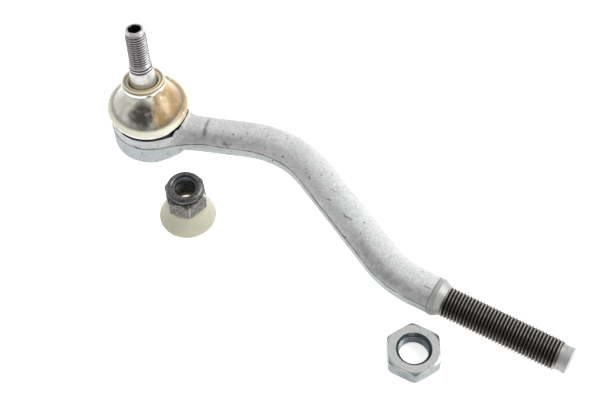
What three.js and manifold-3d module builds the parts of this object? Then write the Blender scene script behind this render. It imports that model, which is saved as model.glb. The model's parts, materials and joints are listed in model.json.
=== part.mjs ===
// Tie rod end: a forged, double-bent arm with a ball joint at one end and a threaded shank at
// the other, with the lock nut of its stud and the jam nut of its shank lying beside it.
//
// Units are millimetres. +Z runs up along the housing's axis, +X along the threaded shank
// towards its tip, and the origin is the middle of the closing cover's flat outer face.

import * as THREE from 'three';
import { mergeVertices } from 'three/addons/utils/BufferGeometryUtils.js';
import Module from 'manifold-3d';

const wasm = await Module();
wasm.setup();

// ---- Driving dimensions -------------------------------------------------------------------

const FINE = 40;                  // steps round the large turned pieces
const COARSE = 28;                // steps round the small ones
const GAP = 0.3;                  // clearance between neighbouring pieces

// Ball joint
const BALL_RADIUS = 9;
const BALL_HEIGHT = 12.5;         // of the ball's centre above the housing's base
const BALL_FLAT = -8.1;           // the ball's flattened underside, from its centre
const LEAN = 12.4;                // degrees the stud leans from the housing's axis at rest
const LEAN_AZIMUTH = 134;        // degrees from +X of the side it leans to

// Housing
const HOUSING_RADIUS = 17.1;
const HOUSING_HEIGHT = 20;
const SHOULDER_HEIGHT = 17.3;     // where the boot's neck starts
const NECK_RADIUS = 14.9;         // the neck that the boot grips
const NECK_CUT_RADIUS = 19;       // how far the cutter that turns the neck reaches into the arm
const BORE_RADIUS = 11.2;
const COVER_BORE_RADIUS = 12.3;
const COVER_BORE_TOP = 3.4;
const ROLLED_LIP_RADIUS = 10.6;
const ROLLED_LIP_HEIGHT = 0.6;

// Arm
const PARTING_HEIGHT = 11;        // the forging's parting plane, and the shank's axis
const ARM_START = [4, -3.2];      // inside the housing
const FIRST_BEND = [63.5, 19.6];  // corners of the centreline before rounding
const SECOND_BEND = [136.2, -18.1];
const ARM_END = 155.2;            // where the forging meets the machined collar
const BEND_RADIUS = 43;
const ARM_UPPER = 8;              // height of the round upper half
const ARM_LOWER = 8;              // depth of the lower half
const ARM_DRAFT = 0.9;            // each side's taper over the lower half
const ARM_CORNER = 3.6;           // rounding of the lower corners
const ARM_HALF_WIDTHS = [7.6, 8.1, 8.3, 8.8, 9.0];
const BOXY_UNTIL = 24;            // length along the arm up to which its upper half is boxy
const ROUND_FROM = 46;            // length along the arm from which its upper half is round
const ARM_STEPS = 40;

// Shank, measured along +X
const SHANK_Y = -18.1;
const COLLAR_RADIUS = 8.35;
const COLLAR_END = 157.4;
const THREAD_START = 160.2;
const THREAD_LENGTH = 53.25;
const THREAD_RADIUS = 7;          // M14 x 1.5
const PILOT_RADIUS = 6;
const PILOT_LENGTH = 5.1;

// Stud, measured from the ball's centre along the stud
const STUD_NECK_RADIUS = 4.4;
const STUD_CONE_START = 20.5;
const STUD_CONE_RADIUS = 6.35;
const STUD_CONE_END = 28.6;
const STUD_COLLAR_RADIUS = 5.3;
const STUD_THREAD_START = 32.3;
const STUD_THREAD_RADIUS = 4.8;   // M10 x 1.25, with crests rolled to 9.6
const STUD_TIP = 51.7;
const STUD_TIP_RADIUS = 4.2;
const SOCKET_FLATS = 5;
const SOCKET_DEPTH = 6.5;

// Ball seats, spring and cover
const SEAT_INNER = 9.3;
const SEAT_OUTER = 11.3;
const SEAT_RADIUS = 10.9;
const SEAT_SPLIT = 12.5;
const UPPER_SEAT_MOUTH = 5.4;     // above the ball's centre
const LOWER_SEAT_BASE = 3.9;
const SPRING_RADIUS = 10.6;
const SPRING_BORE = 5;
const SPRING_THICKNESS = 0.6;
const SPRING_BASE = 2.35;
const SPRING_RISE = 0.65;
const COVER_RADIUS = 12;
const COVER_PAD_RADIUS = 7.5;     // the flat pad that stands proud, flush with the base
const COVER_THICKNESS = 1.1;
const COVER_RIM_BASE = 0.9;
const SEAL_RING_RADIUS = 11.65;
const SEAL_SECTION = 0.42;
const SEAL_HEIGHT = 2.75;

// Dust boot and its clamp rings
const BOOT_LIP_BASE = 17.7;
const BOOT_RIM_RADIUS = 18.3;
const BOOT_RIM_HEIGHT = 21.9;
const BOOT_BEAD = 1.6;            // radius of the thick bead round the boot's rim
const BOOT_CONE = [[15.9, 23.8], [14.4, 25.8], [12.6, 28.1], [10.9, 30.2]];
const BOOT_WALL = 1.7;
const BOOT_LEAN_START = 23;       // below this height the boot stays square to the housing
const BOOT_LEAN_END = 31.5;       // above this height it leans with the stud
const BOOT_MOUTH_RADIUS = 6.75;
const LOWER_RING = { inner: 16.7, outer: 17.8, base: 18.6, height: 1.2, gap: 4, azimuth: -99 };
const UPPER_RING = { inner: 9.1, outer: 10.1, base: 20.1, height: 1.7 };

// Lock nut (M10 x 1.25), its nylon ring and the plastic skirt below it
const SKIRT = { x: 38.3, y: -29.6, base: 12.7, top: 8.8, height: 10.8, wall: 1.6, hole: 4.6 };
const LOCK_NUT = { flats: 17, hexHeight: 8.8, height: 12, collar: 8.35, turn: 12.3 };
const LOCK_NUT_BORE = 4.6;
const INSERT = { inner: 4.65, outer: 6.1, height: 2.2, top: 11.2 };

// Jam nut (M14 x 1.5)
const JAM_NUT = { x: 158.7, y: -43.3, flats: 22, height: 8, bore: 6.4, mouth: 7.6, turn: 1 };

// ---- Materials ------------------------------------------------------------------------------

function metal(color, roughness) {
  return new THREE.MeshStandardMaterial({ color, roughness, metalness: 1 });
}

function polymer(color, roughness) {
  return new THREE.MeshStandardMaterial({ color, roughness, metalness: 0 });
}

const MATERIALS = {
  forging: metal(0xc4c9cc, 0.5),
  stud: metal(0xb9b7b8, 0.3),
  spring: metal(0x8d9094, 0.35),
  cover: metal(0xb5b8ba, 0.4),
  ring: metal(0xd8dadc, 0.2),
  darkNut: metal(0x5a5958, 0.5),
  zincNut: metal(0xc5d0d2, 0.3),
  seat: polymer(0xe8e4d6, 0.4),
  seal: polymer(0x1d1d1f, 0.7),
  boot: polymer(0xb9ae8a, 0.35),
  insert: polymer(0x6b7690, 0.4),
  skirt: polymer(0xd2d0b8, 0.5),
};

// ---- Helpers --------------------------------------------------------------------------------

const degrees = THREE.MathUtils.degToRad;

// Points of an arc about (x, y), both ends included.
function arc(x, y, radius, from, to, steps) {
  const points = [];
  for (let i = 0; i <= steps; i += 1) {
    const angle = degrees(from + ((to - from) * i) / steps);
    points.push([x + radius * Math.cos(angle), y + radius * Math.sin(angle)]);
  }
  return points;
}

// A solid of revolution about Z. The profile is [radius, height] pairs, running upwards on the
// outside. It starts and ends on the axis, or closes on itself.
function turned(profile, steps = FINE) {
  const points = profile.map(([radius, height]) => new THREE.Vector2(radius, height));
  return new THREE.LatheGeometry(points, steps).rotateX(Math.PI / 2);
}

// A ring of revolution, from a profile that is given without its closing point.
function turnedRing(profile, steps = FINE) {
  return turned([...profile, profile[0]], steps);
}

// A regular hexagonal prism standing on z = 0.
function hexPrism(flats, height) {
  return new THREE.CylinderGeometry(flats / Math.sqrt(3), flats / Math.sqrt(3), height, 6)
    .rotateX(Math.PI / 2)
    .rotateZ(Math.PI / 2)
    .translate(0, 0, height / 2);
}

// A closed geometry as a manifold solid, so that it can be joined and cut.
function solid(geometry) {
  const bare = geometry.clone();
  bare.deleteAttribute('normal');
  bare.deleteAttribute('uv');
  const merged = mergeVertices(bare, 1e-4);
  const index = merged.index.array;
  const triangles = [];
  for (let i = 0; i < index.length; i += 3) {
    const [a, b, c] = [index[i], index[i + 1], index[i + 2]];
    if (a !== b && b !== c && c !== a) triangles.push(a, b, c);
  }
  return new wasm.Manifold(new wasm.Mesh({
    numProp: 3,
    vertProperties: merged.attributes.position.array,
    triVerts: new Uint32Array(triangles),
  }));
}

function geometryOf(shape) {
  const mesh = shape.getMesh();
  const geometry = new THREE.BufferGeometry();
  geometry.setAttribute('position', new THREE.BufferAttribute(mesh.vertProperties, 3));
  geometry.setIndex(new THREE.BufferAttribute(mesh.triVerts, 1));
  return geometry;
}

function piece(name, geometry, material) {
  const mesh = new THREE.Mesh(geometry, material);
  mesh.name = name;
  return mesh;
}

// ---- Forged arm with housing and threaded shank ---------------------------------------------

// The arm's centreline seen from above: three straight legs with rounded corners.
function armCentreline() {
  const corners = [ARM_START, FIRST_BEND, SECOND_BEND, [ARM_END, SHANK_Y]]
    .map(([x, y]) => new THREE.Vector2(x, y));
  const path = new THREE.Path();
  path.moveTo(corners[0].x, corners[0].y);
  for (let i = 1; i < corners.length - 1; i += 1) {
    const into = corners[i].clone().sub(corners[i - 1]).normalize();
    const out = corners[i + 1].clone().sub(corners[i]).normalize();
    const bend = Math.atan2(into.cross(out), into.dot(out));
    const side = Math.sign(bend);
    const tangent = BEND_RADIUS * Math.tan(Math.abs(bend) / 2);
    const start = corners[i].clone().addScaledVector(into, -tangent);
    const centre = start.clone().add(new THREE.Vector2(-into.y, into.x).multiplyScalar(side * BEND_RADIUS));
    const from = start.clone().sub(centre).angle();
    path.lineTo(start.x, start.y);
    path.absarc(centre.x, centre.y, BEND_RADIUS, from, from + bend, side < 0);
  }
  path.lineTo(corners.at(-1).x, corners.at(-1).y);
  return path;
}

// The arm's section for a half width of 1 in x: round above the parting plane, and steep sides
// with rounded corners below it.
function armSection(halfWidth) {
  const floor = halfWidth - ARM_DRAFT;
  const corner = ARM_CORNER;
  const upper = arc(0, 0, 1, 0, 180, 12).map(([x, y]) => [x * halfWidth, y * ARM_UPPER]);
  const left = arc(-floor + corner, -ARM_LOWER + corner, corner, 180, 270, 3);
  const right = arc(floor - corner, -ARM_LOWER + corner, corner, 270, 360, 3);
  const outline = [...upper, ...left, ...right].map(([x, y]) => new THREE.Vector2(x, y));
  return new THREE.Shape(outline);
}

// Moves a point of the round upper half out towards a box with a slightly narrower top. The
// place across the arm is a share of the half width.
function boxed(share, rise, boxiness) {
  if (rise <= 0 || boxiness === 0) {
    return [share, rise];
  }
  const exponent = 2 + 2 * boxiness;
  const reach = Math.abs(share) ** exponent + (rise / ARM_UPPER) ** exponent;
  const stretch = reach ** (-1 / exponent);
  const narrowing = 1 - (0.2 * boxiness * rise * stretch) / ARM_UPPER;
  return [share * stretch * narrowing, rise * stretch];
}

// A straight bar of the arm's section, laid along the centreline with its width changing.
function armGeometry() {
  const centreline = armCentreline();
  const nominal = ARM_HALF_WIDTHS[0];
  const geometry = new THREE.ExtrudeGeometry(armSection(nominal), {
    depth: 1,
    steps: ARM_STEPS,
    bevelEnabled: false,
  });
  const position = geometry.attributes.position;
  for (let i = 0; i < position.count; i += 1) {
    const along = THREE.MathUtils.clamp(position.getZ(i), 0, 1);
    const span = along * (ARM_HALF_WIDTHS.length - 1);
    const step = Math.min(Math.floor(span), ARM_HALF_WIDTHS.length - 2);
    const mix = THREE.MathUtils.smoothstep(span - step, 0, 1);
    const halfWidth = THREE.MathUtils.lerp(ARM_HALF_WIDTHS[step], ARM_HALF_WIDTHS[step + 1], mix);
    const boxiness = 1 - THREE.MathUtils.smoothstep(along * centreline.getLength(), BOXY_UNTIL, ROUND_FROM);
    const point = centreline.getPointAt(along);
    const tangent = centreline.getTangentAt(along);
    const [share, rise] = boxed(position.getX(i) / nominal, position.getY(i), boxiness);
    const aside = share * halfWidth;
    position.setXYZ(
      i,
      point.x - tangent.y * aside,
      point.y + tangent.x * aside,
      PARTING_HEIGHT + rise,
    );
  }
  return geometry;
}

function housingGeometry() {
  const edge = 1.1;
  return turned([
    [0, 0],
    ...arc(HOUSING_RADIUS - edge - 0.2, edge, edge, -90, 0, 5),
    [HOUSING_RADIUS, PARTING_HEIGHT],
    [HOUSING_RADIUS - 0.3, SHOULDER_HEIGHT - 0.8],
    [HOUSING_RADIUS - 1.1, SHOULDER_HEIGHT],
    [NECK_RADIUS, SHOULDER_HEIGHT],
    [NECK_RADIUS, HOUSING_HEIGHT],
    [0, HOUSING_HEIGHT],
  ]);
}

// Everything that is bored out of the housing, from the cover's seat to the stud's mouth.
function housingBoreGeometry() {
  const sphere = SEAT_OUTER + GAP;
  const elevation = (height) => THREE.MathUtils.radToDeg(Math.asin((height - BALL_HEIGHT) / sphere));
  const start = BALL_HEIGHT + Math.sqrt(sphere ** 2 - BORE_RADIUS ** 2);
  const dome = arc(0, BALL_HEIGHT, sphere, elevation(start), elevation(HOUSING_HEIGHT), 6);
  return turned([
    [0, -1],
    [ROLLED_LIP_RADIUS, -1],
    [ROLLED_LIP_RADIUS, ROLLED_LIP_HEIGHT],
    [COVER_BORE_RADIUS, ROLLED_LIP_HEIGHT],
    [COVER_BORE_RADIUS, COVER_BORE_TOP],
    [BORE_RADIUS, COVER_BORE_TOP],
    ...dome,
    [dome.at(-1)[0], HOUSING_HEIGHT + 1],
    [0, HOUSING_HEIGHT + 1],
  ]);
}

// The step turned round the neck, which makes room for the boot's foot and its ring.
function neckCutGeometry() {
  const above = PARTING_HEIGHT + ARM_UPPER + 1;
  return turnedRing([
    [NECK_RADIUS, SHOULDER_HEIGHT],
    [NECK_CUT_RADIUS, SHOULDER_HEIGHT],
    [NECK_CUT_RADIUS, above],
    [NECK_RADIUS, above],
  ]);
}

// The machined end: collar, chamfer, thread and pilot tip, turned about the shank's axis.
function shankGeometry() {
  const threadEnd = THREAD_START + THREAD_LENGTH;
  const tip = threadEnd + PILOT_LENGTH;
  const buried = ARM_END - 8;
  return turned([
    [0, buried],
    [COLLAR_RADIUS - 0.8, buried],
    [COLLAR_RADIUS - 0.8, ARM_END - 0.4],
    [COLLAR_RADIUS, ARM_END],
    [COLLAR_RADIUS, COLLAR_END],
    [THREAD_RADIUS, THREAD_START],
    [THREAD_RADIUS, threadEnd - 0.8],
    [PILOT_RADIUS - 0.1, threadEnd],
    [PILOT_RADIUS, tip - 0.5],
    [PILOT_RADIUS - 0.6, tip],
    [0, tip],
  ], COARSE).rotateY(Math.PI / 2).translate(0, SHANK_Y, PARTING_HEIGHT);
}

function forgedArm() {
  const forging = solid(housingGeometry()).add(solid(armGeometry())).add(solid(shankGeometry()));
  const machined = forging.subtract(solid(neckCutGeometry())).subtract(solid(housingBoreGeometry()));
  return piece('forged_arm', geometryOf(machined), MATERIALS.forging);
}

// ---- Ball seats, spring, cover and seal ---------------------------------------------------

// Elevation in degrees of a height above the ball's centre, on a sphere round it.
function elevationOn(radius, height) {
  return THREE.MathUtils.radToDeg(Math.asin(height / radius));
}

function upperBallSeat() {
  const base = SEAT_SPLIT + GAP / 2;
  const low = elevationOn(SEAT_INNER, base - BALL_HEIGHT);
  const high = elevationOn(SEAT_INNER, UPPER_SEAT_MOUTH);
  const outerStart = elevationOn(SEAT_OUTER, Math.sqrt(SEAT_OUTER ** 2 - SEAT_RADIUS ** 2));
  return piece('upper_ball_seat', turnedRing([
    [SEAT_RADIUS, base],
    ...arc(0, BALL_HEIGHT, SEAT_OUTER, outerStart, high + 3, 4),
    ...arc(0, BALL_HEIGHT, SEAT_INNER, high, low, 6),
  ], COARSE), MATERIALS.seat);
}

function lowerBallSeat() {
  const top = SEAT_SPLIT - GAP / 2;
  const low = elevationOn(SEAT_INNER, LOWER_SEAT_BASE + 1 - BALL_HEIGHT);
  const high = elevationOn(SEAT_INNER, top - BALL_HEIGHT);
  const mouth = SEAT_INNER * Math.cos(degrees(low));
  return piece('lower_ball_seat', turnedRing([
    [mouth, LOWER_SEAT_BASE],
    [SEAT_RADIUS, LOWER_SEAT_BASE],
    [SEAT_RADIUS, top],
    ...arc(0, BALL_HEIGHT, SEAT_INNER, high, low, 7),
  ], COARSE), MATERIALS.seat);
}

// A coned disc spring that presses the lower seat onto the ball.
function preloadSpring() {
  return piece('preload_spring', turnedRing([
    [SPRING_RADIUS, SPRING_BASE],
    [SPRING_RADIUS, SPRING_BASE + SPRING_THICKNESS],
    [SPRING_BORE, SPRING_BASE + SPRING_RISE + SPRING_THICKNESS],
    [SPRING_BORE, SPRING_BASE + SPRING_RISE],
  ], COARSE), MATERIALS.spring);
}

// A pressed steel disc, held by the housing's rolled lip, with a flat pad in its middle.
function closingCover() {
  const slopeEnd = COVER_PAD_RADIUS + 1.6;
  return piece('closing_cover', turned([
    [0, 0],
    [COVER_PAD_RADIUS, 0],
    [slopeEnd, COVER_RIM_BASE],
    [COVER_RADIUS, COVER_RIM_BASE],
    [COVER_RADIUS, COVER_RIM_BASE + COVER_THICKNESS],
    [slopeEnd, COVER_RIM_BASE + COVER_THICKNESS],
    [COVER_PAD_RADIUS, COVER_THICKNESS],
    [0, COVER_THICKNESS],
  ], COARSE), MATERIALS.cover);
}

function coverSealRing() {
  const section = arc(SEAL_RING_RADIUS, SEAL_HEIGHT, SEAL_SECTION, 0, 315, 7);
  return piece('cover_seal_ring', turnedRing(section, COARSE), MATERIALS.seal);
}

// ---- Ball stud ------------------------------------------------------------------------------

// The stud is built with the ball's centre at the origin and its tip up.
function ballStud() {
  const low = elevationOn(BALL_RADIUS, BALL_FLAT);
  const high = 90 - THREE.MathUtils.radToDeg(Math.asin(STUD_NECK_RADIUS / BALL_RADIUS));
  const body = solid(turned([
    [0, BALL_FLAT],
    ...arc(0, 0, BALL_RADIUS, low, high, 12),
    [STUD_NECK_RADIUS, 13.5],
    [STUD_CONE_RADIUS, 17.5],
    [STUD_CONE_RADIUS, STUD_CONE_START],
    [STUD_COLLAR_RADIUS, STUD_CONE_END],
    [STUD_COLLAR_RADIUS, STUD_THREAD_START - 0.6],
    [STUD_THREAD_RADIUS, STUD_THREAD_START],
    [STUD_THREAD_RADIUS, STUD_TIP - 1],
    [STUD_TIP_RADIUS, STUD_TIP],
    [0, STUD_TIP],
  ], COARSE));
  const socket = solid(hexPrism(SOCKET_FLATS, SOCKET_DEPTH + 1).translate(0, 0, STUD_TIP - SOCKET_DEPTH));
  return piece('ball_stud', geometryOf(body.subtract(socket)), MATERIALS.stud);
}

// ---- Dust boot and clamp rings --------------------------------------------------------------

const leanAxis = new THREE.Vector3(
  -Math.sin(degrees(LEAN_AZIMUTH)),
  Math.cos(degrees(LEAN_AZIMUTH)),
  0,
);

// Turns a geometry about the ball's centre by the stud's lean, from nothing at one height to
// the whole lean at another.
function leaned(geometry, from, to) {
  const position = geometry.attributes.position;
  const point = new THREE.Vector3();
  for (let i = 0; i < position.count; i += 1) {
    point.fromBufferAttribute(position, i);
    const share = THREE.MathUtils.smoothstep(point.z, from, to);
    point.z -= BALL_HEIGHT;
    point.applyAxisAngle(leanAxis, degrees(LEAN) * share);
    position.setXYZ(i, point.x, point.y, point.z + BALL_HEIGHT);
  }
  return geometry;
}

// A cone of rubber with a thick rim. Its foot grips the housing's neck and its mouth rides on the stud.
function dustBoot() {
  const mouth = BALL_HEIGHT + 23.2;
  const grooveTop = BALL_HEIGHT + UPPER_RING.base + UPPER_RING.height + GAP;
  const grooveBase = BALL_HEIGHT + UPPER_RING.base - GAP;
  const collar = UPPER_RING.inner - GAP;
  const foot = LOWER_RING.inner - GAP;
  const footInner = NECK_RADIUS + GAP;
  const bead = arc(BOOT_RIM_RADIUS - BOOT_BEAD, BOOT_RIM_HEIGHT, BOOT_BEAD, -45, 75, 5);
  const inside = BOOT_CONE.map(([radius, height]) => [radius - 0.77 * BOOT_WALL, height - 0.64 * BOOT_WALL]);
  return piece('dust_boot', leaned(turnedRing([
    [footInner, BOOT_LIP_BASE],
    [foot, BOOT_LIP_BASE],
    [foot, LOWER_RING.base + LOWER_RING.height + GAP],
    ...bead,
    ...BOOT_CONE,
    [collar + 1, grooveBase - 0.6],
    [collar, grooveBase],
    [collar, grooveTop],
    [collar + 0.5, mouth - 0.3],
    [collar, mouth],
    [BOOT_MOUTH_RADIUS, mouth - 0.6],
    [BOOT_MOUTH_RADIUS, grooveBase - 0.8],
    ...inside.reverse(),
    [footInner, LOWER_RING.base + LOWER_RING.height + GAP],
  ]), BOOT_LEAN_START, BOOT_LEAN_END), MATERIALS.boot);
}

// The flat ring round the boot's foot, open by a few degrees so that it can be sprung on.
function bootLowerRing() {
  const { inner, outer, base, height, gap, azimuth } = LOWER_RING;
  const from = degrees(azimuth + gap / 2);
  const to = degrees(azimuth - gap / 2 + 360);
  const outline = new THREE.Shape();
  outline.absarc(0, 0, outer, from, to, false);
  outline.absarc(0, 0, inner, to, from, true);
  const geometry = new THREE.ExtrudeGeometry(outline, {
    depth: height,
    bevelEnabled: false,
    curveSegments: FINE,
  });
  return piece('boot_lower_ring', geometry.translate(0, 0, base), MATERIALS.ring);
}

function bootUpperRing() {
  const { inner, outer, base, height } = UPPER_RING;
  return piece('boot_upper_ring', turnedRing([
    [inner, base],
    [outer, base],
    [outer, base + height],
    [inner, base + height],
  ], COARSE), MATERIALS.ring);
}

// ---- Nuts -------------------------------------------------------------------------------------

// A hexagonal nut blank on z = 0, with its corners chamfered by a cone at each face asked for.
function nutBlank(flats, height, chamferBase) {
  const corner = flats / Math.sqrt(3);
  const face = flats / 2 - 0.25;
  const drop = (corner + 0.5 - face) * Math.tan(degrees(30));
  const lowRadius = chamferBase ? face : corner + 0.5;
  const cone = turned([
    [0, 0],
    [lowRadius, 0],
    [corner + 0.5, chamferBase ? drop : 0.01],
    [corner + 0.5, height - drop],
    [face, height],
    [0, height],
  ], COARSE);
  return solid(hexPrism(flats, height)).intersect(solid(cone));
}

function jamNut() {
  const { flats, height, bore, mouth } = JAM_NUT;
  const sink = mouth - bore;
  const hole = solid(turned([
    [0, -1],
    [mouth + 1, -1],
    [bore, sink],
    [bore, height - sink],
    [mouth + 1, height + 1],
    [0, height + 1],
  ], COARSE));
  return piece('jam_nut', geometryOf(nutBlank(flats, height, true).subtract(hole)), MATERIALS.zincNut);
}

// A hexagonal nut with a round collar, whose rim is rolled in over the nylon ring.
function lockNut() {
  const { flats, hexHeight, height, collar } = LOCK_NUT;
  const pocket = INSERT.outer + GAP;
  const pocketBase = INSERT.top - INSERT.height - GAP;
  const crown = solid(turned([
    [0, hexHeight - 1],
    [collar, hexHeight - 1],
    [collar, height - 1.2],
    ...arc(collar - 1.2, height - 1.2, 1.2, 20, 90, 3),
    [0, height],
  ], COARSE));
  const hole = solid(turned([
    [0, -1],
    [LOCK_NUT_BORE + 1.6, -1],
    [LOCK_NUT_BORE, 0.6],
    [LOCK_NUT_BORE, pocketBase],
    [pocket, pocketBase],
    [pocket, height + 1],
    [0, height + 1],
  ], COARSE));
  const body = nutBlank(flats, hexHeight, false).add(crown).subtract(hole);
  return piece('lock_nut', geometryOf(body), MATERIALS.darkNut);
}

function nylonInsert() {
  return piece('nylon_insert', turnedRing([
    [INSERT.inner, INSERT.top - INSERT.height],
    [INSERT.outer, INSERT.top - INSERT.height],
    [INSERT.outer, INSERT.top],
    [INSERT.inner, INSERT.top],
  ], COARSE), MATERIALS.insert);
}

// A hollow plastic cone with a flat top that the lock nut stands on.
function nutSkirt() {
  const { base, top, height, wall, hole } = SKIRT;
  const belly = (base + top) / 2 - 0.2;
  return piece('nut_skirt', turnedRing([
    [base - wall, 0],
    [base, 0],
    [belly, height / 2],
    [top, height - 0.6],
    [top - 0.6, height],
    [hole, height],
    [hole, height - wall],
    [top - wall, height - wall],
    [belly - wall, height / 2],
  ], COARSE), MATERIALS.skirt);
}

// ---- Assembly ---------------------------------------------------------------------------------

const tieRodEnd = new THREE.Group();
tieRodEnd.add(forgedArm(), upperBallSeat(), lowerBallSeat());
tieRodEnd.add(preloadSpring(), closingCover(), coverSealRing());
tieRodEnd.add(dustBoot(), bootLowerRing());

// What leans with the stud.
const leaning = new THREE.Group();
leaning.position.set(0, 0, BALL_HEIGHT);
leaning.quaternion.setFromAxisAngle(leanAxis, degrees(LEAN));
leaning.add(ballStud(), bootUpperRing());
tieRodEnd.add(leaning);

// The lock nut with its nylon ring, standing on the skirt.
const lockNutStack = new THREE.Group();
lockNutStack.position.set(SKIRT.x, SKIRT.y, 0);
const lockNutOnTop = new THREE.Group();
lockNutOnTop.position.z = SKIRT.height + GAP;
lockNutOnTop.rotation.z = degrees(LOCK_NUT.turn);
lockNutOnTop.add(lockNut(), nylonInsert());
lockNutStack.add(nutSkirt(), lockNutOnTop);
tieRodEnd.add(lockNutStack);

// The jam nut, lying flat.
const jamNutPlace = new THREE.Group();
jamNutPlace.position.set(JAM_NUT.x, JAM_NUT.y, 0);
jamNutPlace.rotation.z = degrees(JAM_NUT.turn);
jamNutPlace.add(jamNut());
tieRodEnd.add(jamNutPlace);

export default tieRodEnd;
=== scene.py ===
import json
import math

import bmesh
import bpy
import numpy as np
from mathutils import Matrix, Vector, noise


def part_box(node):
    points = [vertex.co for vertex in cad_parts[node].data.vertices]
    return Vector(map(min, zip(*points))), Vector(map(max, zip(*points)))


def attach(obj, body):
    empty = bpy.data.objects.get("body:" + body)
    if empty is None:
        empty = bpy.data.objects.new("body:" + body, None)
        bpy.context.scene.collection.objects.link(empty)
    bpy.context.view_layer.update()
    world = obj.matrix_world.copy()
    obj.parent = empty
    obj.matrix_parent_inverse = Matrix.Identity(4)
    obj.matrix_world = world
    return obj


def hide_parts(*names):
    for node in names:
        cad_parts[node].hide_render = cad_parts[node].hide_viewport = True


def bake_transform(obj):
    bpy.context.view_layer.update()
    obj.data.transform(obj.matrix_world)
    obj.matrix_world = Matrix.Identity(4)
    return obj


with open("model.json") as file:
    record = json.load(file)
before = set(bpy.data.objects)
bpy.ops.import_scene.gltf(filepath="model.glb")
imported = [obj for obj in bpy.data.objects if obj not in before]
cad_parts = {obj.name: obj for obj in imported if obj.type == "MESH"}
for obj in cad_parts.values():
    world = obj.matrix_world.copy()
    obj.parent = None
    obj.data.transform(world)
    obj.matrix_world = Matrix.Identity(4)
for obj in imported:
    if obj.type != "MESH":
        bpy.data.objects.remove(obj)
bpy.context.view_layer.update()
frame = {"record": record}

# Shapes are worked out in millimetres in the row frame: +Z up the housing's axis, +X along the
# shank, origin under the housing. Meshes are made in metres.

MM = 0.001
TAU = 2 * math.pi

# ---- What the frame says ----

JOINTS = {joint["name"]: joint for joint in frame["record"]["behaviour"]["joints"]}
BALL = np.array(JOINTS["stud_tilt"]["pos_m"]) / MM
STUD_AXIS = np.array(JOINTS["stud_spin"]["axis"])
TILT_AXIS = np.array(JOINTS["stud_tilt"]["axis"])
LOCK_NUT_AXIS = np.array(JOINTS["lock_nut_turn"]["pos_m"])[:2] / MM
JAM_NUT_AXIS = np.array(JOINTS["jam_nut_turn"]["pos_m"])[:2] / MM
LOCK_NUT_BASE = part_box("lock_nut")[0].z / MM

# ---- Driving dimensions ----

# Forging
HOUSING_RADIUS = 17.1
HOUSING_HEIGHT = 20
HOUSING_EDGE = 1.1
SHOULDER = 17.3              # height of the step round the boot's neck
NECK_RADIUS = 14.9
NECK_CUT_RADIUS = 18.4
HOUSING_SEAM, ARM_SEAM = 11.6, 13.2   # heights of the flash line on the housing and the arm
ARM_MIDDLE = 11              # height of the arm's and the shank's axis
ARM_CORNERS = [(4, -3.2), (63.5, 19.6), (136.2, -18.1), (155.2, -18.1)]
BEND_RADIUS = 43
ARM_UPPER = 8
ARM_LOWER = 8
ARM_DRAFT = 0.9
ARM_CORNER = 3.6
ARM_END_SLANT = 1.6          # how much further the arm reaches on its near side
ARM_HALF_WIDTHS = [7.6, 8.1, 8.3, 8.8, 9.0]
BOX_TOP = (5.3, 8.2, 1.4)    # half width, height above the middle and rounding of the boxy start
BOX_END = (24, 46)           # lengths along the arm where the boxy section turns round
STEP_MARK = 25               # length along the arm of the die's step mark on its top
STEP_MARK_DEPTH = 0.4
SEAM_SIZE = 0.34             # height and half width of the flash line
WAVES = [(9, 0.12), (2.6, 0.05)]   # spacing and height of the forging's unevenness
FILLET = 7                   # reach of the blend between the housing and the arm
VOXEL = 0.7
SOCKET_SPHERE = 11.6         # round inside of the housing, over the upper seat
BORE_RADIUS = 11.2
COVER_GROOVE = 12.3          # radius that the closing cover sits in
BORE_MOUTH = 10.6

# Shank, along +X
ARM_END, SHANK_Y = ARM_CORNERS[-1]
COLLAR_RADIUS = 8.35
COLLAR_END = 157.4
THREAD_START = 160.2
THREAD_LENGTH = 53.25
THREAD_RADIUS = 7
THREAD_PITCH = 1.5
THREAD_DEPTH = 0.92
PILOT_RADIUS = 6
PILOT_LENGTH = 5.1
DARK_REFLECTION_HEADING = 4.0            # middle of the painted dark reflection round the thread, in radians from below

# Stud, from the ball's centre
BALL_RADIUS = 9
BALL_FLAT = -8.1
STUD_NECK = 4.4
CONE_START, CONE_RADIUS = 20.5, 6.35
CONE_END, COLLAR_STUD_RADIUS = 28.6, 5.3
STUD_THREAD_START, STUD_THREAD_END = 32.3, 50.7
STUD_THREAD_RADIUS, STUD_PITCH, STUD_THREAD_DEPTH = 4.8, 1.25, 0.7
STUD_TIP, STUD_TIP_RADIUS = 51.7, 4.2
SOCKET_FLATS, SOCKET_DEPTH = 5, 6.5

# Boot
BOOT_RIM_RADIUS, BOOT_RIM_HEIGHT = 18.3, 21.9
BOOT_BEAD = 1.6              # radius of the thick bead round the boot's rim
BOOT_CONE = [(15.9, 23.8), (14.4, 25.8), (12.6, 28.1), (10.9, 30.2)]
BOOT_WALL = 1.7
BOOT_LEAN_START, BOOT_LEAN_END = 23, 31.5
LOWER_RING = dict(inner=16.1, outer=17.3, base=18.55, coil=0.7, azimuth=-99)
UPPER_RING = dict(inner=9.1, outer=10.1, base=20.1, height=1.7)

# Nuts and skirt. turn is in degrees, and depth is the thread's
JAM = dict(flats=22, height=8, bore=6.35, mouth=7.65, turn=1, pitch=1.5, depth=0.85)
LOCK = dict(
    flats=17, hex_height=8.8, height=12, collar=8.35, bore=4.35, turn=12.3, pitch=1.25, depth=0.7)
INSERT = dict(inner=4.65, outer=6.1, base=8.9, height=2.0)
SKIRT = dict(base=12.7, top=8.8, height=10.8, wall=1.6, hole=4.0)

# Points round a turned piece
STEPS = 96
FINE_STEPS = 128
BOOT_STEPS = 160
NUT_STEPS = 180


# ---- Camera, light and floor ----

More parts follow.
